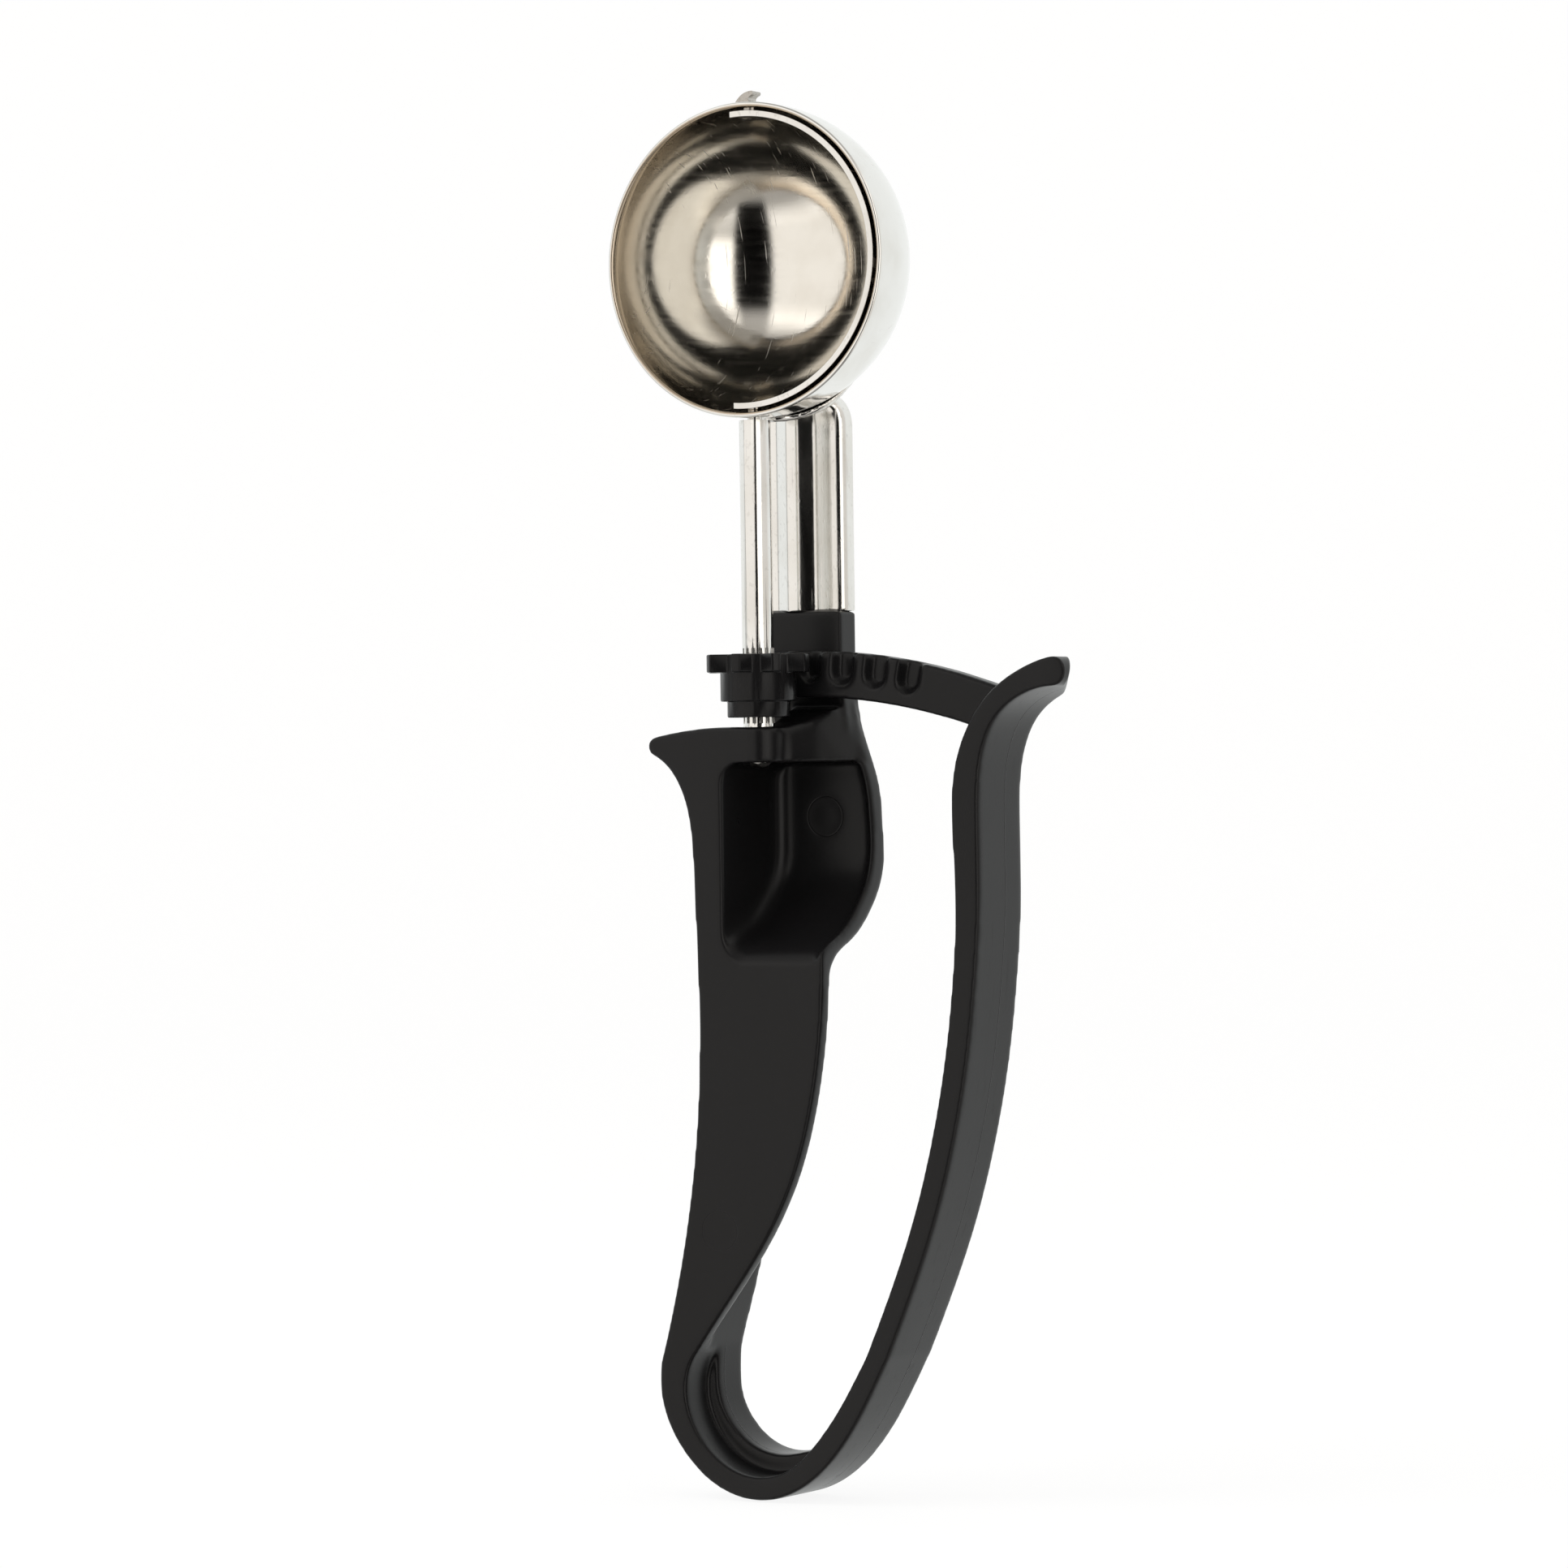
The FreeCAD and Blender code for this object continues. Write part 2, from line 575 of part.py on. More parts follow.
def handle_shape():
    hollow = behind_web().cut(spine_slab())
    handle = grip_slab().cut([hollow, spine_back_cutter()] + pocket_cutters() + [shelf_cutter()])
    handle = handle.fuse([neck_slab(), tongue_block()]).removeSplitter()
    bore = Part.makeCylinder(size("shaft_radius") + size("running_gap"), 2 * size("shelf_thick"),
                             V(0, 0, SHELF_FOOT - size("shelf_thick") / 2))
    return handle.cut([bore] + pin_marks())


def bend_shape():
    """The loop that flexes: a thin ledge over the full depth and a thicker rib behind it."""
    def band(inner, start_y, depth):
        edges = [curve(BEND_OUTER, start_y), line(BEND_OUTER[-1], inner[-1], start_y),
                 curve(inner, start_y), line(inner[0], BEND_OUTER[0], start_y)]
        return slab(edges, depth)
    ledge = band(BEND_LEDGE, FRONT, size("loop_depth"))
    rib_start = FRONT + size("loop_depth") * 0.46
    rib = band(BEND_RIB, rib_start, LOOP_BACK - rib_start)
    return ledge.fuse(rib).removeSplitter()


def about_hinge(shape, degrees):
    """Turn a shape about the flexing centre, clockwise as seen from the front."""
    turned = shape.copy()
    turned.rotate(V(size("hinge_x"), 0, size("hinge_z")), Y_AXIS, degrees)
    return turned


def rack_pocket(number):
    """A blind pocket, open at the rack's top, with a round foot and sloping sides."""
    half = size("pocket_width") / 2
    depth = size("pocket_depth")
    floor_half = half - depth * math.tan(math.radians(size("pocket_side_angle")))
    front = size("rack_front")
    centre_x = size("hinge_x")
    inner = size("hinge_z") + size("rack_inner_radius")
    low = inner + size("pocket_foot") + half
    high = inner + size("rack_height") + 2
    corners = [V(centre_x - half, front, low), V(centre_x + half, front, low),
               V(centre_x + floor_half, front + depth, low), V(centre_x - floor_half, front + depth, low)]
    corners.append(corners[0])
    channel_room = Part.Face(Part.makePolygon(corners)).extrude(Z_AXIS * (high - low))
    foot = Part.makeCone(half, floor_half, depth, V(centre_x, front, low), Y_AXIS)
    room = channel_room.fuse(foot)
    return about_hinge(room, size("rack_first_pocket") + number * rack_pitch_angle())


def lever_shape():
    edges = [curve(LEVER_INNER, FRONT), arc(LEVER_INNER[-1], LEVER_TIP, LEVER_OUTER[0], FRONT),
             curve(LEVER_OUTER, FRONT), line(LEVER_OUTER[-1], LEVER_INNER[0], FRONT)]
    arm = slab(edges, size("loop_depth"))
    tip_x = LEVER_TIP[0]
    plan = block((0, FRONT, 0), (tip_x, LOOP_BACK, size("shoulder_height")))
    end_edges = [edge for edge in plan.Edges
                 if edge.BoundBox.XMin > tip_x - 0.01 and edge.BoundBox.ZLength > 1]
    arm = arm.common(plan.makeFillet(size("finger_corner"), end_edges))
    inner = size("rack_inner_radius")
    outer = inner + size("rack_height")
    first = size("rack_first_pocket") - size("rack_end_margin")
    centre = V(size("hinge_x"), size("rack_front"), size("hinge_z"))
    depth = LOOP_BACK - size("rack_front")
    last = size("rack_root_angle")
    ring = Part.makeCylinder(outer, depth, centre, Y_AXIS).cut(
        Part.makeCylinder(inner, depth, centre, Y_AXIS))

    def ray(angle):
        return V(math.sin(math.radians(angle)), 0, math.cos(math.radians(angle)))
    reach = 2 * outer
    wedge = Part.Face(Part.makePolygon([centre, centre + ray(first) * reach,
                                        centre + ray(last) * reach, centre])).extrude(Y_AXIS * depth)
    rack = ring.common(wedge)
    pockets = [rack_pocket(number) for number in range(int(size("rack_pockets")))]
    return arm.fuse(rack.cut(pockets)).removeSplitter()


def feature(name, shape):
    item = doc.addObject("Part::Feature", name)
    item.Shape = shape
    return item


handle = feature("handle_frame", handle_shape())
bend = feature("spring_bend", bend_shape())
lever = feature("squeeze_lever", lever_shape())

NODES = [handle, bend, lever, bowl, shank, blade, pivot, shaft, pinion]
for node in NODES:
    node.Label = node.Name

doc.recompute()
faults = [item.Name for item in doc.Objects if "Invalid" in item.State or "Error" in item.State]
faults += [node.Label for node in NODES if node.Shape.isNull() or not node.Shape.isValid()]
if faults:
    raise RuntimeError("failed: " + ", ".join(faults))

os.makedirs("parts", exist_ok=True)
for node in NODES:
    node.Shape.exportStep("parts/" + node.Label + ".step")
    box = node.Shape.BoundBox
    print(f"{node.Label}: {len(node.Shape.Solids)} solid, {node.Shape.Volume:.1f} mm3, "
          f"X {box.XMin:.2f} {box.XMax:.2f}, Y {box.YMin:.2f} {box.YMax:.2f}, "
          f"Z {box.ZMin:.2f} {box.ZMax:.2f}")
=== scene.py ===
import math

import bmesh
import bpy
import numpy as np
from mathutils import Matrix, Vector


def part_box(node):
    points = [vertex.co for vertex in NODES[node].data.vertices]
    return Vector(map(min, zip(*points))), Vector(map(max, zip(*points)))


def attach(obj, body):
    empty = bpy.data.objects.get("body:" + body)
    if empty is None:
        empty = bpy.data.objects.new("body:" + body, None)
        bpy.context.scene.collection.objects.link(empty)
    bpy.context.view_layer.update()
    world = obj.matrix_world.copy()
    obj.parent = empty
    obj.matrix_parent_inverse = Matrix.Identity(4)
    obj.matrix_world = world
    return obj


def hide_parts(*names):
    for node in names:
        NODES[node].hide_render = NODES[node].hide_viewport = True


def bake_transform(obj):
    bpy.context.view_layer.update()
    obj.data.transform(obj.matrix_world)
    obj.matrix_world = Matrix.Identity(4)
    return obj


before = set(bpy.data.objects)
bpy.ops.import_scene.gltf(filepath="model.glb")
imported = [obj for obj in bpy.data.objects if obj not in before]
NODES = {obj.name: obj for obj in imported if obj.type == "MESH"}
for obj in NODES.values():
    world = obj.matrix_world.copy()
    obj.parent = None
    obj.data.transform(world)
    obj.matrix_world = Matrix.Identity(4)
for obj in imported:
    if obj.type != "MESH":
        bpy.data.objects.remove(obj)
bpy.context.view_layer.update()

# A lever ice cream scoop with a moulded black handle and a polished steel bowl, in metres.
MM = 0.001

# The photograph's frame and camera
SENSOR = 36.0
FOCAL = 138.5
CAMERA_DISTANCE = 0.9
CAMERA_AZIMUTH = math.radians(30.0)
CAMERA_ROLL = math.radians(-0.83)
AIM = Vector((3.1, 1.8, 106.5)) * MM
NEAREST = 0.01

# The plane where the flexing loop joins the grip and the lever
JOINT_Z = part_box("spring_bend")[1][2]

# The bowl: a half ball with a short skirt towards -Y
bowl_low, bowl_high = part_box("bowl")
BOWL_R = (bowl_high[0] - bowl_low[0]) / 2
BOWL_Z = (bowl_high[2] + bowl_low[2]) / 2
SKIRT = -bowl_low[1]
WALL = 0.8 * MM

# CAD surfaces are welded at this distance
WELD = 0.001 * MM


def link(name, data):
    item = bpy.data.objects.new(name, data)
    bpy.context.scene.collection.objects.link(item)
    return item


def mesh_from_bmesh(name, bm):
    mesh = bpy.data.meshes.new(name)
    bm.to_mesh(mesh)
    bm.free()
    return mesh


def cad_copy(nodes):
    """One bmesh with the welded surfaces of the named nodes."""
    bm = bmesh.new()
    for node in nodes:
        source = NODES[node]
        start = len(bm.verts)
        bm.from_mesh(source.data)
        bm.verts.ensure_lookup_table()
        for vert in bm.verts[start:]:
            vert.co = source.matrix_world @ vert.co
    bmesh.ops.remove_doubles(bm, verts=bm.verts, dist=WELD)
    return bm


def smooth_by_angle(mesh, degrees):
    for polygon in mesh.polygons:
        polygon.use_smooth = True
    mesh.set_sharp_from_angle(angle=math.radians(degrees))


class Nodes:
    """A node tree with short calls for the nodes that the materials share."""

    def __init__(self, tree):
        self.tree = tree
        self.tree.nodes.clear()

    def add(self, kind, inputs=None, **settings):
        node = self.tree.nodes.new("ShaderNode" + kind)
        for key, value in settings.items():
            setattr(node, key, value)
        for key, value in (inputs or {}).items():
            if isinstance(value, bpy.types.NodeSocket):
                self.tree.links.new(value, node.inputs[key])
            else:
                node.inputs[key].default_value = value
        return node

    def math(self, operation, first, second=0.0, third=0.0):
        return self.add("Math", {0: first, 1: second, 2: third}, operation=operation).outputs[0]

    def ramp(self, value, stops):
        node = self.add("ValToRGB", {"Fac": value})
        ramp = node.color_ramp
        while len(ramp.elements) < len(stops):
            ramp.elements.new(0.5)
        for element, (position, colour) in zip(ramp.elements, stops):
            element.position = position
            element.color = colour if len(colour) == 4 else tuple(colour) + (1.0,)
        return node.outputs["Color"]

    def band(self, value, low, high, soft):
        """One between low and high, with soft edges, and zero outside."""
        rise = self.add("MapRange", {"Value": value, 1: low - soft, 2: low + soft},
                        interpolation_type="SMOOTHSTEP").outputs[0]
        fall = self.add("MapRange", {"Value": value, 1: high - soft, 2: high + soft, 3: 1.0, 4: 0.0},
                        interpolation_type="SMOOTHSTEP").outputs[0]
        return self.math("MULTIPLY", rise, fall)

    def link(self, output, target):
        self.tree.links.new(output, target)


def grey(value):
    return (value, value, value, 1.0)


def material(name):
    made = bpy.data.materials.new(name)
    made.use_nodes = True
    return made, Nodes(made.node_tree)


def place(nodes, scale, turn=(0.0, 0.0, 0.0)):
    """Object coordinates, stretched by scale and turned."""
    coordinates = nodes.add("TexCoord").outputs["Object"]
    return nodes.add("Mapping", {"Vector": coordinates, "Rotation": turn, "Scale": scale}).outputs["Vector"]


# Steel: its colours, and its wear as noise scales in object space
BRIGHT = (0.80, 0.79, 0.765)
STAIN = (0.71, 0.69, 0.65)
DULL = (0.50, 0.475, 0.44)
DULL_STAIN = (0.36, 0.34, 0.31)
CLOUD_SCALE = (90, 90, 90)
CLOUD_STOPS = (0.42, 0.72)
SPECK_SCALE = (1500, 1500, 1100)
SPECK_STOPS = (0.60, 0.70)
SPECK_COLOUR = (0.16, 0.14, 0.12, 1.0)
SPECK_DEPTH = 0.4
SCRATCH_STOPS = (0.35, 0.75)
SCRATCH_ROUGHENS = 1.6
SCRATCH_HEIGHT = 0.04 * MM
SCORE_SCALE = (4200, 260, 90)
SCORE_TILT = math.radians(24)
SCORE_STOPS = (0.70, 0.76)
SCORE_ROUGHENS = 0.3


def mask(nodes, value, stops):
    """Zero below the first stop and one above the second."""
    return nodes.ramp(value, [(stops[0], grey(0.0)), (stops[1], grey(1.0))])


def steel(name, colour, stain, rough, streak, streak_depth, speck=0.0, shade=None):
    """Bright steel: fine scratches along one direction, tilted scores, small specks and cloudy wear."""
    made, nodes = material(name)
    scratches = nodes.add("TexNoise", {"Vector": place(nodes, streak), "Scale": 1.0, "Detail": 3.0})
    cloud = nodes.add("TexNoise", {"Vector": place(nodes, CLOUD_SCALE), "Scale": 1.0, "Detail": 4.0})
    specks = nodes.add("TexNoise", {"Vector": place(nodes, SPECK_SCALE), "Scale": 1.0, "Detail": 2.0})
    scores = nodes.add("TexNoise", {"Vector": place(nodes, SCORE_SCALE, (0.0, SCORE_TILT, 0.0)),
                                    "Scale": 1.0, "Detail": 1.0})
    speck_mask = mask(nodes, specks.outputs["Fac"], SPECK_STOPS)
    wear = mask(nodes, cloud.outputs["Fac"], CLOUD_STOPS)
    tint = nodes.add("Mix", {0: wear, 6: colour + (1.0,), 7: stain + (1.0,)}, data_type="RGBA").outputs[2]
    if speck:
        spotted = nodes.math("MULTIPLY", speck_mask, speck)
        tint = nodes.add("Mix", {0: spotted, 6: tint, 7: SPECK_COLOUR}, data_type="RGBA").outputs[2]
    if shade:
        tint = shade(nodes, tint)
    lines = mask(nodes, scratches.outputs["Fac"], SCRATCH_STOPS)
    roughness = nodes.add("MapRange", {"Value": lines, 1: 0.0, 2: 1.0,
                                       3: rough, 4: rough * SCRATCH_ROUGHENS}).outputs[0]
    score_mask = mask(nodes, scores.outputs["Fac"], SCORE_STOPS)
    roughness = nodes.math("ADD", roughness, nodes.math("MULTIPLY", score_mask, SCORE_ROUGHENS))
    height = nodes.math("SUBTRACT", scratches.outputs["Fac"],
                        nodes.math("MULTIPLY", speck_mask, SPECK_DEPTH))
    bump = nodes.add("Bump", {"Strength": streak_depth, "Distance": SCRATCH_HEIGHT, "Height": height})
    shader = nodes.add("BsdfPrincipled", {"Base Color": tint, "Metallic": 1.0, "Roughness": roughness,
                                          "Normal": bump.outputs["Normal"]})
    out = nodes.add("OutputMaterial")
    nodes.link(shader.outputs[0], out.inputs["Surface"])
    return made


# The bowl's inside: its tint deep down and near the rim, where a browner band is a painted dark
# reflection, the depths between which it changes, and how far into the wall the outside's look reaches
BOWL_DEEP = (1.0, 0.98, 0.94, 1.0)
BOWL_PAINTED_REFLECTION = (0.66, 0.57, 0.47, 1.0)
PAINTED_REFLECTION_FROM = -0.1 * BOWL_R
PAINTED_REFLECTION_TO = 0.3 * BOWL_R
OUTER_SHARE = 0.55


def bowl_tint_and_painted_reflection(nodes, tint):
    """The bowl's outside is polished and bright; its inside is warmer, and browner near the rim, where the
    brown is a painted dark reflection.
    """
    position = nodes.add("TexCoord").outputs["Object"]
    centre = nodes.add("VectorMath", {0: position, 1: (0, 0, BOWL_Z)}, operation="SUBTRACT").outputs[0]
    radius = nodes.add("VectorMath", {0: centre}, operation="LENGTH").outputs["Value"]
    depth = nodes.add("SeparateXYZ", {"Vector": position}).outputs["Y"]
    axis_distance = nodes.math("SQRT", nodes.math("SUBTRACT", nodes.math("MULTIPLY", radius, radius),
                                                  nodes.math("MULTIPLY", depth, depth)))
    skirt = nodes.math("LESS_THAN", depth, 0.0)
    wall = nodes.add("Mix", {0: skirt, 2: radius, 3: axis_distance}, data_type="FLOAT").outputs[0]
    outside = nodes.math("GREATER_THAN", wall, BOWL_R - OUTER_SHARE * WALL)
    # Painted dark reflection: the inside turns browner towards the rim
    painted_reflection = nodes.add("MapRange", {"Value": depth, 1: PAINTED_REFLECTION_FROM, 2: PAINTED_REFLECTION_TO, 3: 1.0, 4: 0.0},
                        interpolation_type="SMOOTHSTEP").outputs[0]
    inside = nodes.add("Mix", {0: painted_reflection, 6: BOWL_DEEP, 7: BOWL_PAINTED_REFLECTION}, data_type="RGBA").outputs[2]
    inside = nodes.add("Mix", {0: 1.0, 6: tint, 7: inside},
                       data_type="RGBA", blend_type="MULTIPLY").outputs[2]
    return nodes.add("Mix", {0: outside, 6: inside, 7: tint}, data_type="RGBA").outputs[2]


# Plastic: its colour, grain, flow and scuffs, and the marks of its mould
BLACK = (0.0052, 0.005, 0.0054)
GRAIN_SCALE = (2600, 2600, 2600)
GRAIN_DEPTH = 0.2
FLOW_SCALE = (60, 60, 14)
FLOW_LIGHTENS = 1.5
FLOW_ADDS = 0.002
FLOW_ROUGHENS = 0.04
SCUFF_SCALE = (900, 900, 70)
SCUFF_STOPS = (0.60, 0.78)
SCUFF_ROUGHENS = 0.07
PLASTIC_SPECULAR = 0.205
RELIEF_HEIGHT = 0.06 * MM
RELIEF_STRENGTH = 0.4
PARTING_Y = 4.3 * MM
PARTING_HALF = 0.05 * MM
PARTING_SOFT = 0.06 * MM
PARTING_RISE = 3.0
MARK_R = 3.0 * MM
MARK_HALF = 0.07 * MM
MARK_SINK = 1.6
PIN_MARKS = ((-5.6 * MM, 40 * MM), (3.7 * MM, 101.5 * MM))


def plastic(name, colour, rough, parting_y=None, marks=()):
    """Moulded plastic: fine grain, flow marks, a parting line and ejector marks where asked."""
    made, nodes = material(name)
    grain = nodes.add("TexNoise", {"Vector": place(nodes, GRAIN_SCALE), "Scale": 1.0, "Detail": 2.0})
    flow = nodes.add("TexNoise", {"Vector": place(nodes, FLOW_SCALE), "Scale": 1.0, "Detail": 3.0})
    scuffs = nodes.add("TexNoise", {"Vector": place(nodes, SCUFF_SCALE), "Scale": 1.0, "Detail": 2.0})
    scuff_mask = mask(nodes, scuffs.outputs["Fac"], SCUFF_STOPS)
    lighter = tuple(channel * FLOW_LIGHTENS + FLOW_ADDS for channel in colour)
    tint = nodes.add("Mix", {0: flow.outputs["Fac"], 6: colour + (1.0,), 7: lighter + (1.0,)},
                     data_type="RGBA").outputs[2]
    base_rough = nodes.add("MapRange", {"Value": flow.outputs["Fac"], 1: 0.3, 2: 0.7,
                                        3: rough - FLOW_ROUGHENS, 4: rough + FLOW_ROUGHENS}).outputs[0]
    roughness = nodes.math("ADD", base_rough, nodes.math("MULTIPLY", scuff_mask, SCUFF_ROUGHENS))
    height = nodes.math("MULTIPLY", grain.outputs["Fac"], GRAIN_DEPTH)
    position = nodes.add("TexCoord").outputs["Object"]
    if parting_y is not None:
        across = nodes.add("SeparateXYZ", {"Vector": position}).outputs["Y"]
        seam = nodes.band(across, parting_y - PARTING_HALF, parting_y + PARTING_HALF, PARTING_SOFT)
        height = nodes.math("ADD", height, nodes.math("MULTIPLY", seam, PARTING_RISE))
    for mark_x, mark_z in marks:
        offset = nodes.add("VectorMath", {0: position, 1: (mark_x, 0, mark_z)}, operation="SUBTRACT")
        flat = nodes.add("VectorMath", {0: offset.outputs[0], 1: (1, 0, 1)}, operation="MULTIPLY")
        away = nodes.add("VectorMath", {0: flat.outputs[0]}, operation="LENGTH").outputs["Value"]
        ring = nodes.band(away, MARK_R - MARK_HALF, MARK_R + MARK_HALF, MARK_HALF)
        height = nodes.math("SUBTRACT", height, nodes.math("MULTIPLY", ring, MARK_SINK))
    bump = nodes.add("Bump", {"Strength": RELIEF_STRENGTH, "Distance": RELIEF_HEIGHT, "Height": height})
    shader = nodes.add("BsdfPrincipled", {"Base Color": tint, "Roughness": roughness, "IOR": 1.5,
                                          "Specular IOR Level": PLASTIC_SPECULAR,
                                          "Normal": bump.outputs["Normal"]})
    out = nodes.add("OutputMaterial")
    nodes.link(shader.outputs[0], out.inputs["Surface"])
    return made


bowl_steel = steel("bowl_steel", BRIGHT, STAIN, 0.095, (160, 160, 1500), 0.10, shade=bowl_tint_and_painted_reflection)
strip_steel = steel("strip_steel", BRIGHT, STAIN, 0.12, (900, 900, 60), 0.3, speck=0.12)
tab_steel = steel("tab_steel", DULL, DULL_STAIN, 0.2, (700, 700, 700), 0.3, speck=0.4)
shaft_steel = steel("shaft_steel", BRIGHT, STAIN, 0.11, (1500, 1500, 60), 0.2, speck=0.1)
grip_plastic = plastic("grip_plastic", BLACK, 0.31, marks=PIN_MARKS)
lever_plastic = plastic("lever_plastic", BLACK, 0.31, parting_y=PARTING_Y)
pinion_plastic = plastic("pinion_plastic", BLACK, 0.27)


# The moulding: grip, loop and lever are skinned as one surface with rounded edges, then parted
# at the loop's joint plane into three pieces
VOXEL = 0.32 * MM
CRISP_PASSES = 5
SOFT_PASSES = 9
SMOOTH_STEP = 0.5

# The rack and the shank's sleeve keep crisper edges than the rest
CRISP_ABOVE = 116.0 * MM
CRISP_BEHIND = 5.6 * MM
CRISP_LEFT_OF = 31.0 * MM
CRISP_SHARE = 0.35

# Parted pieces: specks under this many points are dropped, and only the lever reaches this far
FEWEST_POINTS = 1000
LEVER_REACH = 30.0 * MM

# The shoulder from the shaft's boss back to the spine's right edge, which carries the neck, in
# millimetres: each corner's x at the foot, x at the top, y, and the height of the top
SHOULDER = ((1.0, 1.0, -1.6, 115.0), (3.6, 3.4, -1.0, 115.0), (5.2, 4.8, 0.6, 115.1),
            (7.4, 6.8, 4.6, 116.0), (9.2, 7.9, 9.0, 117.6), (10.6, 8.6, 14.0, 118.6),
            (0.0, 0.0, 14.0, 118.6), (0.0, 0.0, 8.6, 117.6), (0.0, 0.0, 3.6, 115.6))
SHOULDER_FOOT = 109.7


def add_shoulder(bm):
    foot = [bm.verts.new(Vector((low_x, y, SHOULDER_FOOT)) * MM) for low_x, top_x, y, top in SHOULDER]
    crown = [bm.verts.new(Vector((top_x, y, top)) * MM) for low_x, top_x, y, top in SHOULDER]
    bm.faces.new(foot[::-1])
    bmesh.ops.triangulate(bm, faces=[bm.faces.new(crown)])
    count = len(foot)
    for step in range(count):
        after = (step + 1) % count
        side = bm.faces.new((foot[step], foot[after], crown[after], crown[step]))
        bmesh.ops.triangulate(bm, faces=[side])


# The lever's tip swells a little, and from TIP_CUT on its back slants in to TIP_DEPTH, more so
# towards its top and bottom. TIP_MIDDLE is the height of its middle at each x, in millimetres
TIP_START = 43.0 * MM
TIP_END = 53.3 * MM
TIP_DEPTH = 3.0 * MM
TIP_SWELL = 0.1
TIP_CUT = 46.6 * MM
TIP_MIDDLE = ((43.0, 47.1, 51.3, 53.3), (119.0, 121.3, 122.9, 123.3))
TIP_HALF = 2.8 * MM
TIP_CROWN = 0.55


def round_tip(points):
    front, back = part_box("squeeze_lever")[0][1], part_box("squeeze_lever")[1][1]
    x, y, z = points.T
    along = np.clip((x - TIP_START) / (TIP_END - TIP_START), 0, 1)
    middle = np.interp(x / MM, *TIP_MIDDLE) * MM
    points[:, 2] = np.where(along > 0, middle + (z - middle) * (1 + TIP_SWELL * along ** 2), z)
    share = np.clip((y - front) / (back - front), 0, 1)
    high = np.clip((points[:, 2] - middle) / TIP_HALF, -1, 1)
    cut = np.clip((x - TIP_CUT) / (TIP_END - TIP_CUT), 0, 1)
    depth = TIP_DEPTH + (back - front - TIP_DEPTH) * (1 - cut)
    crown = 1 - TIP_CROWN * along ** 2 * high ** 2 * share
    points[:, 1] = np.where(along > 0, front + share * depth * crown, y)


# The tongue inside the shank's channel is set back behind the sheet
TONGUE_LOW = 132.7 * MM
TONGUE_HALF = 7.4 * MM
TONGUE_FRONT = 13.3 * MM


def set_tongue_back(points):
    x, y, z = points.T
    inside = (z > TONGUE_LOW) & (np.abs(x) < TONGUE_HALF)
    points[:, 1] = np.where(inside, np.maximum(y, TONGUE_FRONT), y)


def voxel_surface(blank, voxel):
    """One closed skin round a bmesh of overlapping solids."""
    base = link("blank", mesh_from_bmesh("blank", blank))
    remesh = base.modifiers.new("skin", "REMESH")
    remesh.mode = "VOXEL"
    remesh.voxel_size = voxel
    remesh.use_smooth_shade = True
    depsgraph = bpy.context.evaluated_depsgraph_get()
    skin = bpy.data.meshes.new_from_object(base.evaluated_get(depsgraph))
    bpy.data.objects.remove(base)
    return skin


def softness(points):
    """How far each point's edges are rounded: little on the rack and the sleeve."""
    x, y, z = points.T
    crisp = (z > CRISP_ABOVE) & (y > CRISP_BEHIND) & (x < CRISP_LEFT_OF)
    return np.where(crisp, CRISP_SHARE, 1.0)


def read_points(mesh):
    points = np.empty(len(mesh.vertices) * 3)
    mesh.vertices.foreach_get("co", points)
    return points.reshape(-1, 3)


def relax(mesh, points, soft, crisp_passes, soft_passes):
    """Evens the surface out: crisp_passes over all of it, then soft_passes weighted by soft."""
    count = len(points)
    edges = np.empty(len(mesh.edges) * 2, dtype=np.int64)
    mesh.edges.foreach_get("vertices", edges)
    first, second = edges.reshape(-1, 2).T
    valence = np.bincount(first, minlength=count) + np.bincount(second, minlength=count)
    for turn in range(crisp_passes + soft_passes):
        total = np.zeros_like(points)
        for axis in range(3):
            total[:, axis] = (np.bincount(first, weights=points[second, axis], minlength=count)
                              + np.bincount(second, weights=points[first, axis], minlength=count))
        share = np.ones(count) if turn < crisp_passes else soft
        points += (SMOOTH_STEP * share)[:, None] * (total / valence[:, None] - points)
    mesh.vertices.foreach_set("co", points.ravel())
    mesh.update()


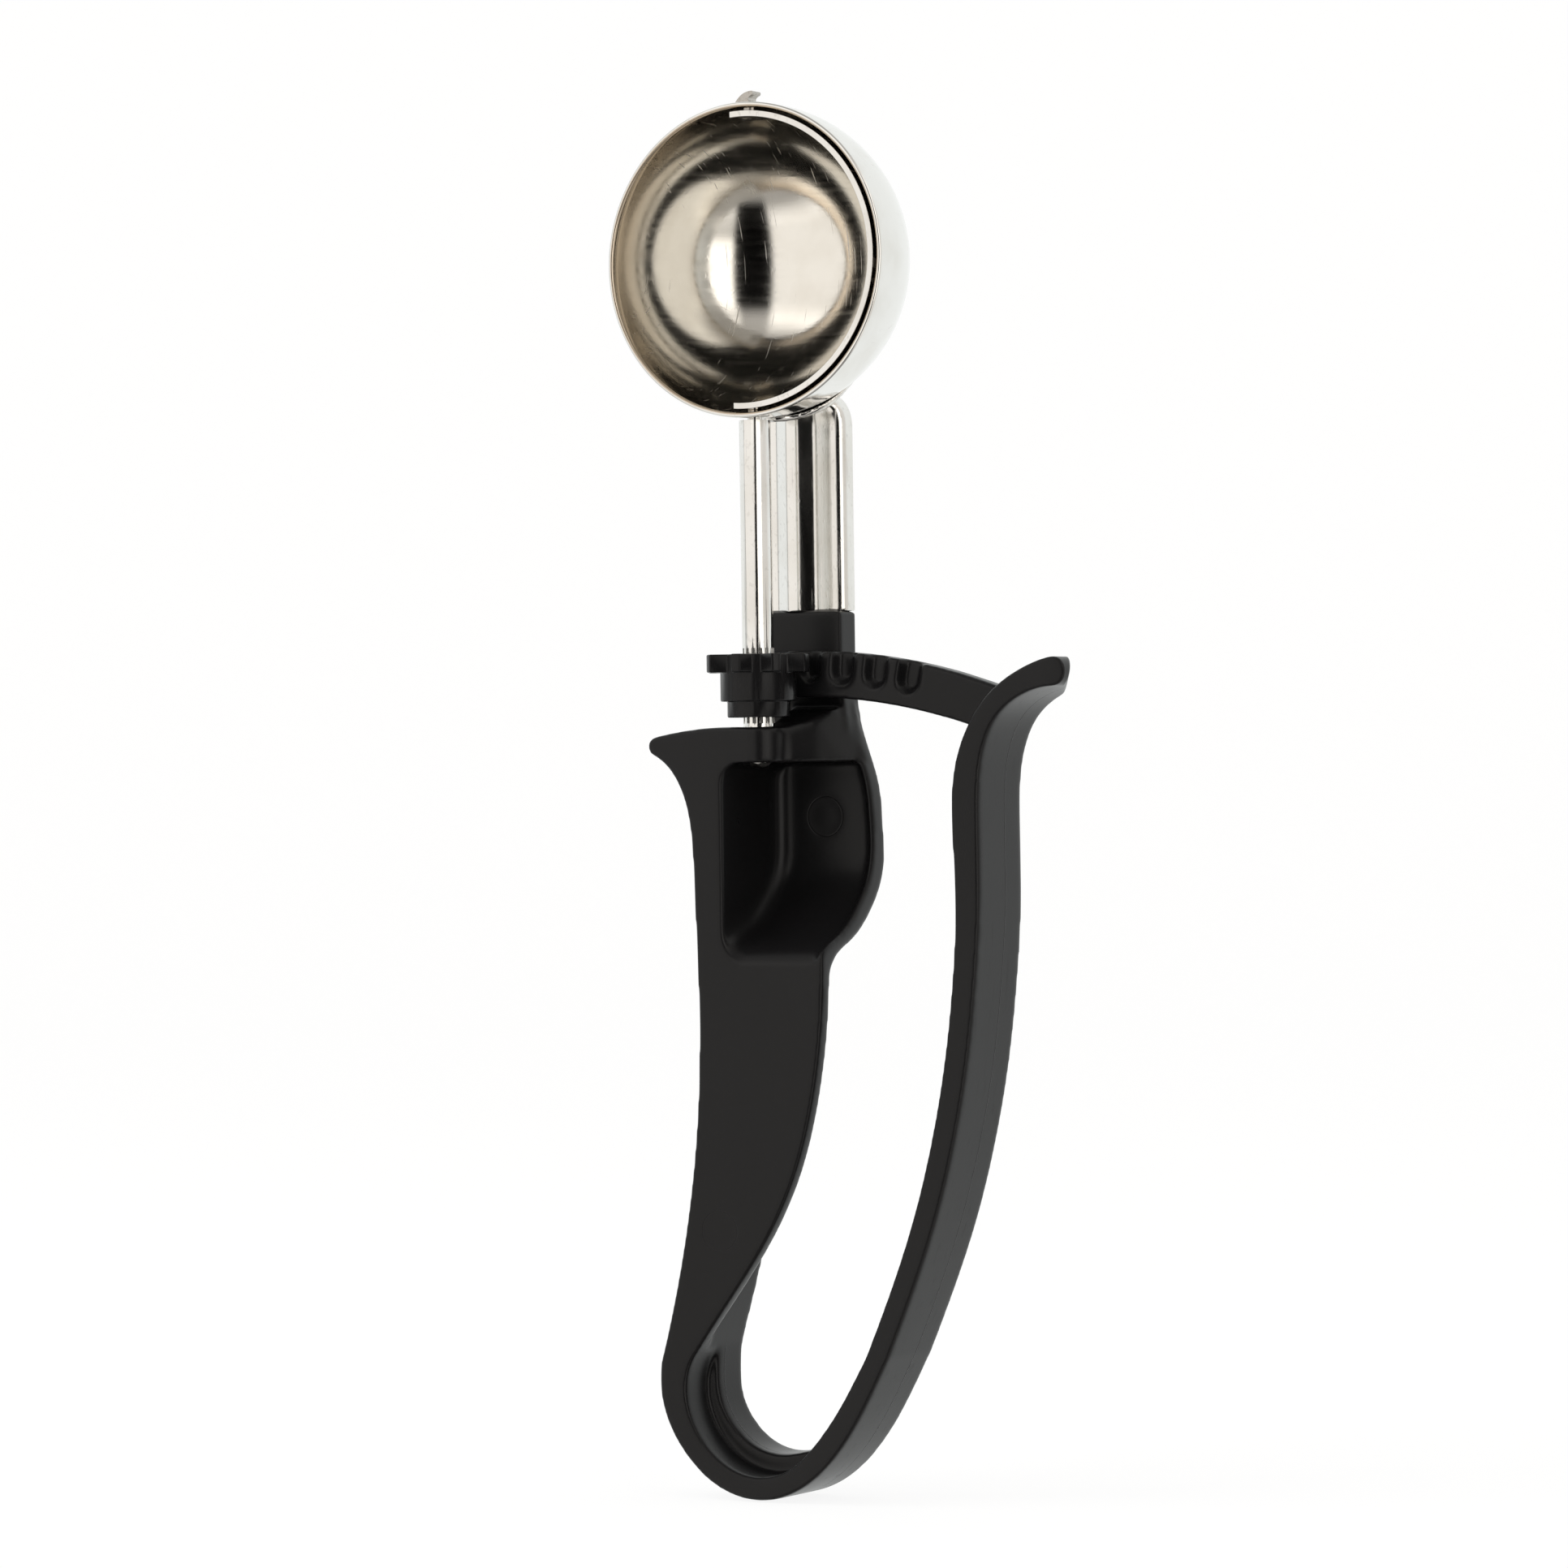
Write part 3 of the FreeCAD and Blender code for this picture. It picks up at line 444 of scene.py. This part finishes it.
def part_moulding(mesh):
    """Cuts the skin at the joint plane and gives each of the three pieces its own mesh."""
    bm = bmesh.new()
    bm.from_mesh(mesh)
    geometry = bm.verts[:] + bm.edges[:] + bm.faces[:]
    bmesh.ops.bisect_plane(bm, geom=geometry, plane_co=(0, 0, JOINT_Z), plane_no=(0, 0, 1))
    bm.faces.ensure_lookup_table()
    below = [face.calc_center_median().z < JOINT_Z for face in bm.faces]
    seams = [edge for edge in bm.edges
             if len(edge.link_faces) == 2
             and below[edge.link_faces[0].index] != below[edge.link_faces[1].index]]
    bmesh.ops.split_edges(bm, edges=seams)
    bm.verts.ensure_lookup_table()
    bm.verts.index_update()
    group = [-1] * len(bm.verts)
    groups = []
    for vert in bm.verts:
        if group[vert.index] >= 0:
            continue
        label = len(groups)
        members = [vert]
        group[vert.index] = label
        for member in members:
            for edge in member.link_edges:
                other = edge.other_vert(member)
                if group[other.index] < 0:
                    group[other.index] = label
                    members.append(other)
        groups.append(members)
    named = {}
    for label, members in enumerate(groups):
        if len(members) < FEWEST_POINTS:
            continue
        if min(vert.co.z for vert in members) < JOINT_Z - MM:
            named["loop"] = label
        elif max(vert.co.x for vert in members) > LEVER_REACH:
            named["lever"] = label
        else:
            named["grip"] = label
    pieces = {}
    for key, label in named.items():
        part = bm.copy()
        part.verts.ensure_lookup_table()
        unwanted = [vert for vert in part.verts if group[vert.index] != label]
        bmesh.ops.delete(part, geom=unwanted, context="VERTS")
        rim = [edge for edge in part.edges if edge.is_boundary]
        bmesh.ops.holes_fill(part, edges=rim, sides=0)
        for edge in rim:
            edge.smooth = False
        for face in part.faces:
            face.smooth = True
        pieces[key] = mesh_from_bmesh("moulded_" + key, part)
    bm.free()
    return pieces


moulding_blank = cad_copy(["handle_frame", "spring_bend", "squeeze_lever"])
add_shoulder(moulding_blank)
skin = voxel_surface(moulding_blank, VOXEL)
skin_points = read_points(skin)
round_tip(skin_points)
set_tongue_back(skin_points)
relax(skin, skin_points, softness(skin_points), CRISP_PASSES, SOFT_PASSES)
moulded = part_moulding(skin)
bpy.data.meshes.remove(skin)

grip = link("moulded_grip", moulded["grip"])
grip.data.materials.append(grip_plastic)
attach(grip, "root")
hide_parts("handle_frame")

lever = link("moulded_lever", moulded["lever"])
lever.data.materials.append(lever_plastic)
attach(lever, "lever")
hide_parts("squeeze_lever")

loop = link("moulded_loop", moulded["loop"])
loop.data.materials.append(lever_plastic)
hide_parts("spring_bend")
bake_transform(loop)


# The bowl, turned as one smooth shell with a rounded rim
TURN_STEPS = 192
DOME_STEPS = 48
RIM_STEPS = 6
POLE_RADIUS = 1e-9


def bowl_profile():
    """The wall's section as pairs of radius and depth along +Y."""
    rim = WALL / 2
    outer = [(BOWL_R * math.sin(a), BOWL_R * math.cos(a))
             for a in (math.pi / 2 * step / DOME_STEPS for step in range(DOME_STEPS + 1))]
    inner_r = BOWL_R - WALL
    inner = [(inner_r * math.sin(a), inner_r * math.cos(a))
             for a in (math.pi / 2 * step / DOME_STEPS for step in range(DOME_STEPS, -1, -1))]
    edge_y = -SKIRT + rim
    bead = [(BOWL_R - rim + rim * math.cos(a), edge_y - rim * math.sin(a))
            for a in (math.pi * step / RIM_STEPS for step in range(RIM_STEPS + 1))]
    skirt_middle = edge_y / 2
    return outer + [(BOWL_R, skirt_middle)] + bead + [(inner_r, skirt_middle)] + inner


def turned(name, profile):
    """A closed shell turned round the bowl's axis, from the outer pole to the inner one."""
    bm = bmesh.new()
    rings = []
    for radius, depth in profile:
        if radius < POLE_RADIUS:
            rings.append([bm.verts.new((0, depth, BOWL_Z))])
            continue
        ring = []
        for step in range(TURN_STEPS):
            angle = 2 * math.pi * step / TURN_STEPS
            ring.append(bm.verts.new((radius * math.cos(angle), depth,
                                      BOWL_Z + radius * math.sin(angle))))
        rings.append(ring)
    for ring, following in zip(rings, rings[1:]):
        for step in range(TURN_STEPS):
            after = (step + 1) % TURN_STEPS
            if len(ring) == 1:
                bm.faces.new((ring[0], following[step], following[after]))
            elif len(following) == 1:
                bm.faces.new((ring[step], following[0], ring[after]))
            else:
                bm.faces.new((ring[step], following[step], following[after], ring[after]))
    bmesh.ops.recalc_face_normals(bm, faces=bm.faces)
    for face in bm.faces:
        face.smooth = True
    return link(name, mesh_from_bmesh(name, bm))


bowl = turned("polished_bowl", bowl_profile())
bowl.data.materials.append(bowl_steel)
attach(bowl, "root")
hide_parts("bowl")


# Edges sharper than this many degrees are rounded on the rigid pieces
EDGE_ANGLE = 35


def dressed(node, name, body, look, bevel):
    """A welded copy of a rigid node with small rounded edges."""
    mesh = mesh_from_bmesh(name, cad_copy([node]))
    smooth_by_angle(mesh, EDGE_ANGLE)
    piece = link(name, mesh)
    rounding = piece.modifiers.new("edges", "BEVEL")
    rounding.width = bevel
    rounding.segments = 2
    rounding.limit_method = "ANGLE"
    rounding.angle_limit = math.radians(EDGE_ANGLE)
    rounding.use_clamp_overlap = True
    rounding.harden_normals = True
    piece.data.materials.append(look)
    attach(piece, body)
    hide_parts(node)


# The shank: the sheet between its front and back planes has a long raised middle that fades out
# at the pad, and its flanges turn over at the top, clear of the bowl
SHANK_VOXEL = 0.24 * MM
SHANK_PASSES = 5
SHANK_FRONT = 10.8 * MM
SHANK_BACK = 15.7 * MM
BOWL_CLEAR = 0.8 * MM
BOWL_BLEND = 1.2 * MM
RIB_TOP = 0.9 * MM
RIB_FOOT = 3.3 * MM
RIB_RISE = 1.3 * MM
RIB_END = (162.5 * MM, 166.0 * MM)
FLANGE_X = 8.0 * MM
FLANGE_TURN = (160.3 * MM, 165.2 * MM)
FLANGE_INSET = 3.6 * MM


def formed_shank():
    skin = voxel_surface(cad_copy(["bowl_shank"]), SHANK_VOXEL)
    points = read_points(skin)
    x, y, z = points.T
    ramp = np.clip((np.abs(x) - RIB_TOP) / (RIB_FOOT - RIB_TOP), 0, 1)
    depth = np.clip((SHANK_BACK - y) / (SHANK_BACK - SHANK_FRONT), 0, 1)
    fade = np.clip((RIB_END[1] - z) / (RIB_END[1] - RIB_END[0]), 0, 1)
    points[:, 1] += RIB_RISE * ramp * depth * fade
    clear = np.sqrt(x ** 2 + y ** 2 + (z - BOWL_Z) ** 2) - BOWL_R
    free = np.clip((clear - BOWL_CLEAR) / BOWL_BLEND, 0, 1)
    turn = np.clip((z - FLANGE_TURN[0]) / (FLANGE_TURN[1] - FLANGE_TURN[0]), 0, 1)
    inset = FLANGE_INSET * (1 - np.sqrt(1 - turn ** 2)) * free
    points[:, 0] -= np.sign(x) * inset * np.clip(np.abs(x) / FLANGE_X, 0, 1)
    relax(skin, points, np.ones(len(points)), SHANK_PASSES, 0)
    smooth_by_angle(skin, 180)
    piece = link("formed_shank", skin)
    piece.data.materials.append(strip_steel)
    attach(piece, "root")
    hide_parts("bowl_shank")


formed_shank()
dressed("scraper_blade", "scraper_strip", "scraper", strip_steel, 0.1 * MM)
dressed("blade_pivot", "bent_tab", "scraper", tab_steel, 0.12 * MM)
dressed("scraper_shaft", "turning_shaft", "scraper", shaft_steel, 0.05 * MM)
dressed("pinion_gear", "moulded_pinion", "scraper", pinion_plastic, 0.2 * MM)


# Pale floor that curves up into a backdrop, far behind the scoop
FLOOR_GAP = 0.2 * MM
FLOOR_REACH = 3.0
BACKDROP_BEND = 1.2
BACKDROP_TOP = 4.0
BEND_STEPS = 16
FLOOR_COLOUR = 0.9
FLOOR_GLOW = 1.04
GLOW_SHARE = 0.86


def floor_and_backdrop():
    bm = bmesh.new()
    flat_end = FLOOR_REACH - BACKDROP_BEND
    path = [(-FLOOR_REACH, 0.0), (flat_end, 0.0)]
    path += [(flat_end + BACKDROP_BEND * math.sin(a), BACKDROP_BEND - BACKDROP_BEND * math.cos(a))
             for a in (math.pi / 2 * step / BEND_STEPS for step in range(1, BEND_STEPS + 1))]
    path.append((FLOOR_REACH, BACKDROP_TOP))
    across = Vector((math.cos(CAMERA_AZIMUTH), math.sin(CAMERA_AZIMUTH), 0))
    away = Vector((-math.sin(CAMERA_AZIMUTH), math.cos(CAMERA_AZIMUTH), 0))
    rows = []
    for distance, height in path:
        middle = away * distance + Vector((0, 0, height - FLOOR_GAP))
        rows.append([bm.verts.new(middle + across * side) for side in (-FLOOR_REACH, FLOOR_REACH)])
    for row, following in zip(rows, rows[1:]):
        bm.faces.new((row[0], row[1], following[1], following[0])).smooth = True
    return link("pale_floor", mesh_from_bmesh("pale_floor", bm))


floor = floor_and_backdrop()
floor_look, floor_nodes = material("pale_floor")
ray = floor_nodes.add("LightPath")
diffuse = floor_nodes.add("BsdfDiffuse", {"Color": grey(FLOOR_COLOUR)})
glow = floor_nodes.add("Emission", {"Color": grey(1.0), "Strength": FLOOR_GLOW})
seen = floor_nodes.math("MULTIPLY", ray.outputs["Is Camera Ray"], GLOW_SHARE)
mixed = floor_nodes.add("MixShader", {0: seen, 1: diffuse.outputs[0], 2: glow.outputs[0]})
floor_nodes.link(mixed.outputs[0], floor_nodes.add("OutputMaterial").inputs["Surface"])
floor.data.materials.append(floor_look)
floor.visible_glossy = False


# The studio round the scoop: white behind it, three soft boxes in front with a dark column
# between them, and dimmer light from above and below. Each soft box has its reach in degrees to
# the right of the camera and up, the softness of its sides and of its ends, and its strength
SOFT_BOXES = (
    ((12, 42), (-20, 31), 3, 7, 1.1),
    ((12, 100), (-45, 50), 4, 12, 0.72),
    ((-88, -15), (-42, 48), 4, 10, 0.98),
    ((-180, 180), (34, 95), 1, 9, 0.42),
    ((-180, 180), (-95, -36), 1, 9, 0.36),
)
DARK_COLUMN = ((-14, 15), (-52, 31), 3, 6)
COLUMN_DARKENS = 0.98
ROOM_LIGHT = 0.10
BACK_LIGHT = 1.02
BACK_LOW = 0.35
BACK_RISE = math.radians(60)
BACK_SOFT = math.radians(20)
FRONT_ENDS = 0.15
BACK_STARTS = -0.3
FRONT_COLOUR = (1.0, 0.965, 0.92, 1.0)
BACK_COLOUR = (0.98, 1.0, 0.99, 1.0)


def studio():
    world = bpy.data.worlds.new("studio")
    world.use_nodes = True
    bpy.context.scene.world = world
    nodes = Nodes(world.node_tree)
    direction = nodes.add("TexCoord").outputs["Generated"]
    toward = (math.sin(CAMERA_AZIMUTH), -math.cos(CAMERA_AZIMUTH), 0.0)
    right = (math.cos(CAMERA_AZIMUTH), math.sin(CAMERA_AZIMUTH), 0.0)
    ahead = nodes.add("VectorMath", {0: direction, 1: toward}, operation="DOT_PRODUCT").outputs["Value"]
    aside = nodes.add("VectorMath", {0: direction, 1: right}, operation="DOT_PRODUCT").outputs["Value"]
    up = nodes.add("SeparateXYZ", {"Vector": direction}).outputs["Z"]
    turn = nodes.math("ARCTAN2", aside, ahead)
    rise = nodes.math("ARCSINE", up)
    degree = math.radians(1)

    def patch(turns, rises, turn_soft, rise_soft):
        """One inside a patch of the studio, given in degrees to the right and up, with soft edges."""
        wide = nodes.band(turn, turns[0] * degree, turns[1] * degree, turn_soft * degree)
        high = nodes.band(rise, rises[0] * degree, rises[1] * degree, rise_soft * degree)
        return nodes.math("MULTIPLY", wide, high)

    behind = nodes.add("MapRange", {"Value": ahead, 1: FRONT_ENDS, 2: BACK_STARTS, 3: 0.0, 4: 1.0},
                       interpolation_type="SMOOTHSTEP").outputs[0]
    front_light = ROOM_LIGHT
    for turns, rises, turn_soft, rise_soft, strength in SOFT_BOXES:
        box = nodes.math("MULTIPLY", patch(turns, rises, turn_soft, rise_soft), strength)
        front_light = nodes.math("ADD", box, front_light)
    dark = nodes.math("MULTIPLY", patch(*DARK_COLUMN), COLUMN_DARKENS)
    front_light = nodes.math("MULTIPLY", front_light, nodes.math("SUBTRACT", 1.0, dark))
    front_light = nodes.math("MULTIPLY", front_light, nodes.math("SUBTRACT", 1.0, behind))
    level = nodes.band(rise, -BACK_RISE, BACK_RISE, BACK_SOFT)
    fading = nodes.math("ADD", BACK_LOW, nodes.math("MULTIPLY", level, 1.0 - BACK_LOW))
    back_light = nodes.math("MULTIPLY", nodes.math("MULTIPLY", behind, BACK_LIGHT), fading)
    light = nodes.math("ADD", front_light, back_light)
    colour = nodes.add("Mix", {0: behind, 6: FRONT_COLOUR, 7: BACK_COLOUR}, data_type="RGBA").outputs[2]
    lit = nodes.add("Background", {"Color": colour, "Strength": light})
    white = nodes.add("Background", {"Color": grey(1.0), "Strength": 1.0})
    camera_ray = nodes.add("LightPath").outputs["Is Camera Ray"]
    both = nodes.add("MixShader", {0: camera_ray, 1: lit.outputs[0], 2: white.outputs[0]})
    nodes.link(both.outputs[0], nodes.add("OutputWorld").inputs["Surface"])


studio()


LAMP_AT = Vector((-0.45, -0.5, 1.0))
LAMP_SIZE = 0.6
LAMP_POWER = 3.0


def key_lamp():
    """A soft lamp above on the left, which the steel doesn't mirror."""
    lamp = bpy.data.lights.new("key", "AREA")
    lamp.shape = "RECTANGLE"
    lamp.size = LAMP_SIZE
    lamp.size_y = LAMP_SIZE
    lamp.energy = LAMP_POWER
    item = link("key", lamp)
    item.location = LAMP_AT
    item.visible_glossy = False
    item.rotation_euler = (AIM - LAMP_AT).to_track_quat("-Z", "Y").to_euler()


key_lamp()


def photograph_camera():
    data = bpy.data.cameras.new("camera")
    data.sensor_width = SENSOR
    data.lens = FOCAL
    data.clip_start = NEAREST
    camera = link("camera", data)
    back = Vector((math.sin(CAMERA_AZIMUTH), -math.cos(CAMERA_AZIMUTH), 0))
    camera.location = AIM + back * CAMERA_DISTANCE
    facing = (-back).to_track_quat("-Z", "Y").to_matrix()
    camera.rotation_euler = (facing @ Matrix.Rotation(CAMERA_ROLL, 3, "Z")).to_euler()
    bpy.context.scene.camera = camera


photograph_camera()
bpy.context.scene.view_settings.view_transform = "Standard"
